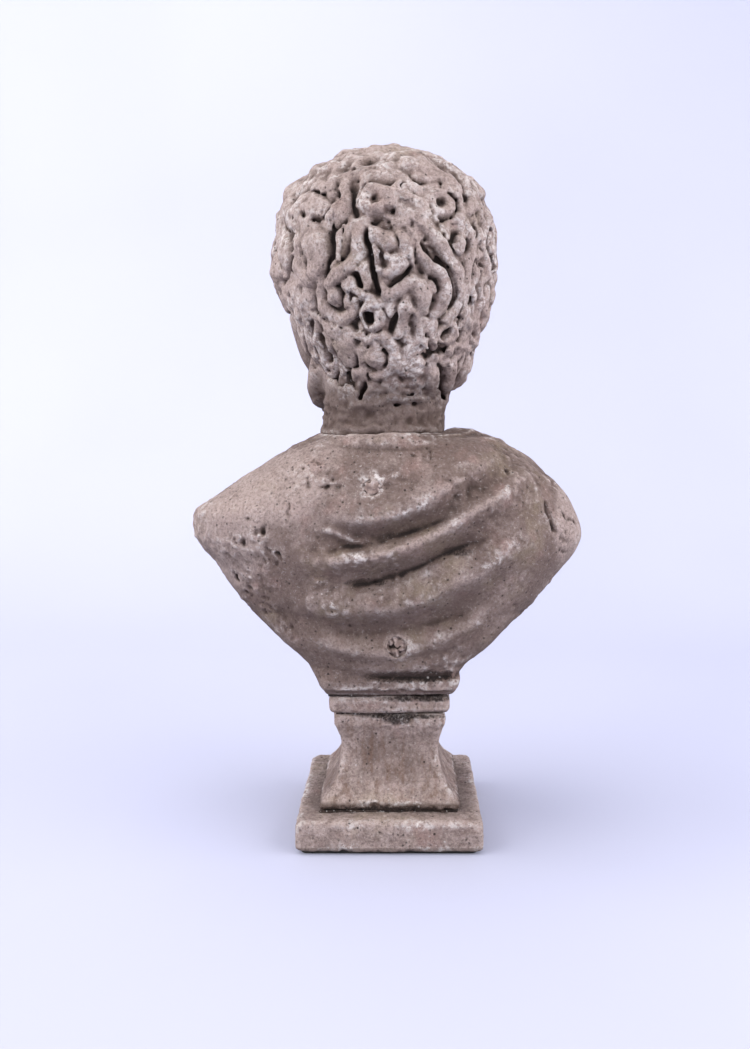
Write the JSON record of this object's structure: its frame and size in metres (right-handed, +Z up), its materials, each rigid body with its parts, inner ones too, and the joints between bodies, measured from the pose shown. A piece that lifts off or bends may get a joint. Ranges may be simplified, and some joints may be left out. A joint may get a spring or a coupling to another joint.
{
  "type": "portrait bust",
  "caption": "Draped portrait bust of a curly-haired figure on a waisted square socle and plinth, in weathered cast stone, free-standing.",
  "frame": {"origin": "centre of the underside, on the surface that the bust stands on", "axes": "+Z up; -Y the way the chest faces, so +X is the bust's own left, towards which the head is turned"},
  "size_m": [0.354, 0.2206, 0.61],
  "materials": {
    "stone": "weathered cast stone, matt, pitted, dirt in the hollows",
    "mortar": "coarse grey mortar, matt",
    "rubber": "black rubber sheet, matt",
    "steel": "plain steel with light rust"
  },
  "bodies": {
    "root": {"base_pad": "rubber", "plinth": "stone", "plinth_mortar": "mortar", "socle": "stone", "socle_mortar": "mortar", "collar_block": "stone", "collar_mortar": "mortar", "bust_torso": "stone", "upper_plug": "mortar", "lower_plug": "mortar", "neck_mortar": "mortar", "head": "stone", "tie_rod": "steel", "tie_nut": "steel", "tie_washer": "steel", "tie_lock_washer": "steel", "anchor_plate": "steel", "anchor_nut": "steel", "neck_dowel": "steel"}
  },
  "joints": []
}
